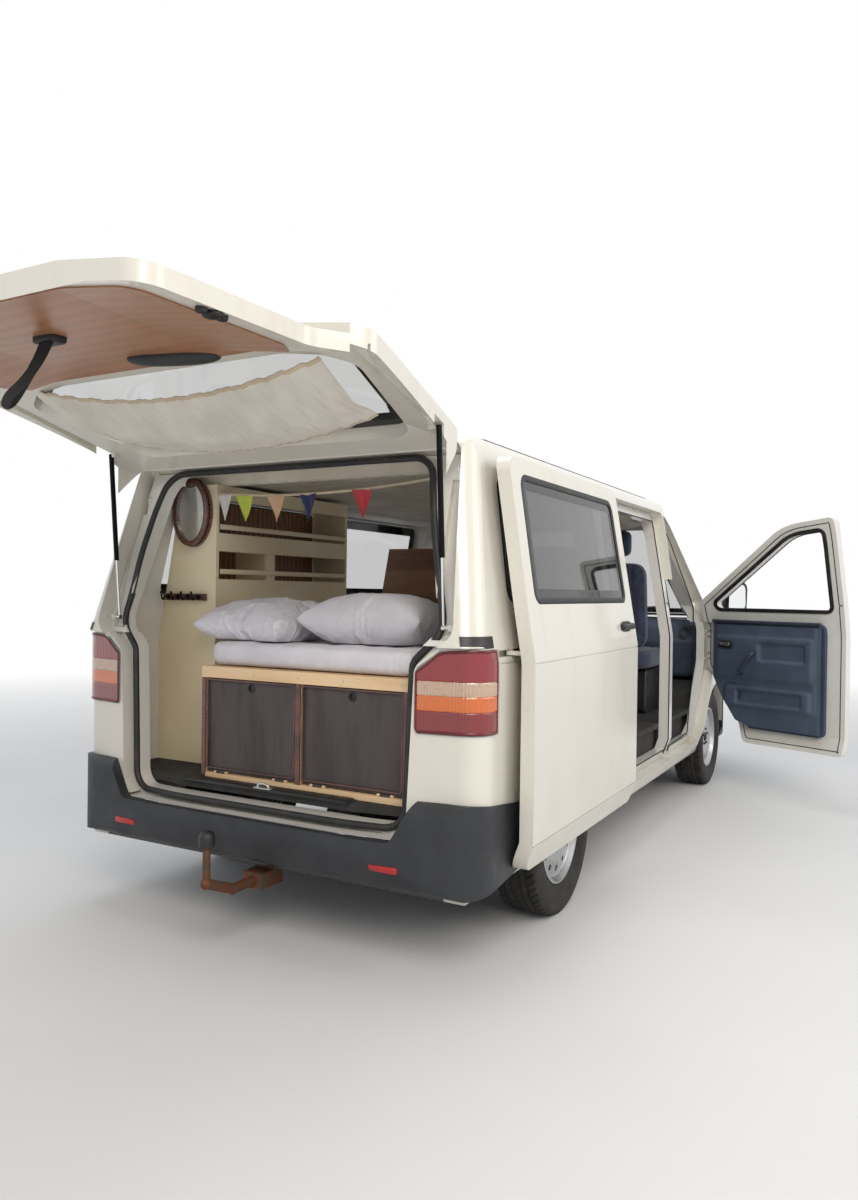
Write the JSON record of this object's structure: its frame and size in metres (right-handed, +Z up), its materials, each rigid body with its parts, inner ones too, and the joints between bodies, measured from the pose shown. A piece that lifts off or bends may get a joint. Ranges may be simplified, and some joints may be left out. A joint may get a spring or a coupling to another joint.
{
  "type": "camper van",
  "caption": "Panel van fitted as a camper, with its tailgate, sliding side door and right front door standing open on a bed, pillows and shelves.",
  "frame": {"origin": "middle of the whole van's outline with its doors open, on the ground", "axes": "+X forward, +Y to the van's left, +Z up"},
  "size_m": [6.025, 3.0323, 2.1417],
  "materials": {
    "body_paint": "gloss paint",
    "white_paint": "gloss paint",
    "dark_plastic": "grained",
    "black_metal": "satin",
    "grey_metal": "brushed",
    "cast": "rough",
    "rust_brown": "rough",
    "glass": "smooth",
    "lamp_glass": "smooth",
    "head_glass": "smooth",
    "cab_blue": "grained",
    "seat_fabric": "woven",
    "lining_wood": "satin",
    "pine": "satin",
    "flap_brown": "matte",
    "cream_board": "satin",
    "brown_board": "satin",
    "dark_wood": "gloss",
    "ceiling_panel": "satin",
    "sheet_white": "woven",
    "pillow_white": "woven",
    "curtain_cream": "woven",
    "tyre_rubber": "matte",
    "wheel_steel": "silver paint",
    "chrome_rod": "polished"
  },
  "bodies": {
    "van_body": {"roof_panel": "body_paint", "body_side_left": "body_paint", "body_side_right": "body_paint", "pillars_left": "white_paint", "pillars_right": "white_paint", "rear_frame": "white_paint", "quarter_frames": "white_paint", "front_wings": "body_paint", "headlamps": "head_glass", "radiator_grille": "dark_plastic", "front_bumper": "dark_plastic", "front_structure": "white_paint", "fixed_glass": "glass", "tail_lamps": "lamp_glass", "rear_bumper": "dark_plastic", "sliding_door": "body_paint", "sliding_door_glass": "glass", "floor_pan": "dark_plastic", "ceiling": "ceiling_panel", "engine_block": "cast", "fuel_tank": "dark_plastic", "exhaust": "grey_metal", "rear_axle": "cast", "front_axle": "cast", "tow_bar": "rust_brown", "dashboard": "cab_blue", "front_seats": "seat_fabric", "bed_box": "pine", "mattress": "sheet_white", "pillows": "pillow_white", "shelf_unit": "cream_board", "mirror_and_hook_rail": "dark_wood", "partition_board": "brown_board"},
    "tailgate_body": {"tailgate": "body_paint", "tailgate_lining": "lining_wood", "tailgate_glass": "glass", "tailgate_curtain": "curtain_cream"},
    "strut_tube_pair": {"strut_tubes": "black_metal"},
    "strut_rod_pair": {"strut_rods": "chrome_rod"},
    "left_door": {"front_door_left": "body_paint", "front_door_left_trim": "cab_blue", "front_door_left_glass": "glass", "front_door_left_mirror": "dark_plastic"},
    "right_door": {"front_door_right": "white_paint", "front_door_right_trim": "cab_blue", "front_door_right_mirror": "dark_plastic"},
    "bonnet_lid": {"bonnet": "body_paint"},
    "flap_l": {"bed_flap_left": "flap_brown"},
    "flap_r": {"bed_flap_right": "flap_brown"},
    "knuckle_l": {"knuckle_left": "cast"},
    "knuckle_r": {"knuckle_right": "cast"},
    "helm": {"steering_wheel": "dark_plastic"},
    "wheel_rear_left": {"tyre_rear_left": "tyre_rubber", "rim_rear_left": "wheel_steel"},
    "wheel_rear_right": {"tyre_rear_right": "tyre_rubber", "rim_rear_right": "wheel_steel"},
    "wheel_front_left": {"tyre_front_left": "tyre_rubber", "rim_front_left": "wheel_steel"},
    "wheel_front_right": {"tyre_front_right": "tyre_rubber", "rim_front_right": "wheel_steel"}
  },
  "joints": [
    {"name": "tailgate_hinge", "type": "hinge", "parent": "van_body", "child": "tailgate_body", "pos_m": [-1.6205, 0.3283, 1.897], "axis": [0, 1, 0], "range_deg": [-90, 0]},
    {"name": "strut_swing", "type": "hinge", "parent": "tailgate_body", "child": "strut_tube_pair", "pos_m": [-1.8075, 0.3283, 1.907], "axis": [0, 1, 0], "range_deg": [0, 108.92]},
    {"name": "strut_slide", "type": "slide", "parent": "strut_tube_pair", "child": "strut_rod_pair", "axis": [0.0764, 0, -0.9971], "range_m": [-0.18304, 0]},
    {"name": "left_door_hinge", "type": "hinge", "parent": "van_body", "child": "left_door", "pos_m": [1.9825, 1.2663, 1], "axis": [0, 0, 1], "range_deg": [-68, 0]},
    {"name": "right_door_hinge", "type": "hinge", "parent": "van_body", "child": "right_door", "pos_m": [1.9825, -0.6097, 1], "axis": [0, 0, 1], "range_deg": [-66, 2]},
    {"name": "bonnet_hinge", "type": "hinge", "parent": "van_body", "child": "bonnet_lid", "pos_m": [2.5255, 0.3283, 1.14], "axis": [0, 1, 0], "range_deg": [-52, 0]},
    {"name": "flap_left_hinge", "type": "hinge", "parent": "van_body", "child": "flap_l", "pos_m": [-1.6785, 0.3283, 0.603], "axis": [0, -1, 0], "range_deg": [0, 90]},
    {"name": "flap_right_hinge", "type": "hinge", "parent": "van_body", "child": "flap_r", "pos_m": [-1.6785, 0.3283, 0.603], "axis": [0, -1, 0], "range_deg": [0, 90]},
    {"name": "steer_left", "type": "hinge", "parent": "van_body", "child": "knuckle_l", "pos_m": [2.1245, 1.0483, 0.336], "axis": [0, 0, 1], "range_deg": [-33, 33]},
    {"name": "steer_right", "type": "hinge", "parent": "van_body", "child": "knuckle_r", "pos_m": [2.1245, -0.3917, 0.336], "axis": [0, 0, 1], "range_deg": [-33, 33]},
    {"name": "helm_turn", "type": "hinge", "parent": "van_body", "child": "helm", "pos_m": [1.9625, 0.7483, 1.1565], "axis": [-0.766, 0, 0.6428], "range_deg": [-520, 520]},
    {"name": "wheel_rear_left_spin", "type": "hinge", "parent": "van_body", "child": "wheel_rear_left", "pos_m": [-0.8755, 1.1423, 0.336], "axis": [0, 1, 0], "continuous": true},
    {"name": "wheel_rear_right_spin", "type": "hinge", "parent": "van_body", "child": "wheel_rear_right", "pos_m": [-0.8755, -0.4857, 0.336], "axis": [0, 1, 0], "continuous": true},
    {"name": "wheel_front_left_spin", "type": "hinge", "parent": "knuckle_l", "child": "wheel_front_left", "pos_m": [2.1245, 1.1423, 0.336], "axis": [0, 1, 0], "continuous": true},
    {"name": "wheel_front_right_spin", "type": "hinge", "parent": "knuckle_r", "child": "wheel_front_right", "pos_m": [2.1245, -0.4857, 0.336], "axis": [0, 1, 0], "continuous": true}
  ],
  "couplings": [
    {"joint": "strut_swing", "follows": "tailgate_hinge", "ratio": -1.2102},
    {"joint": "strut_slide", "follows": "tailgate_hinge", "m_per_rad": 0.11653},
    {"joint": "steer_right", "follows": "steer_left", "ratio": 1},
    {"joint": "helm_turn", "follows": "steer_left", "ratio": 15.5}
  ]
}
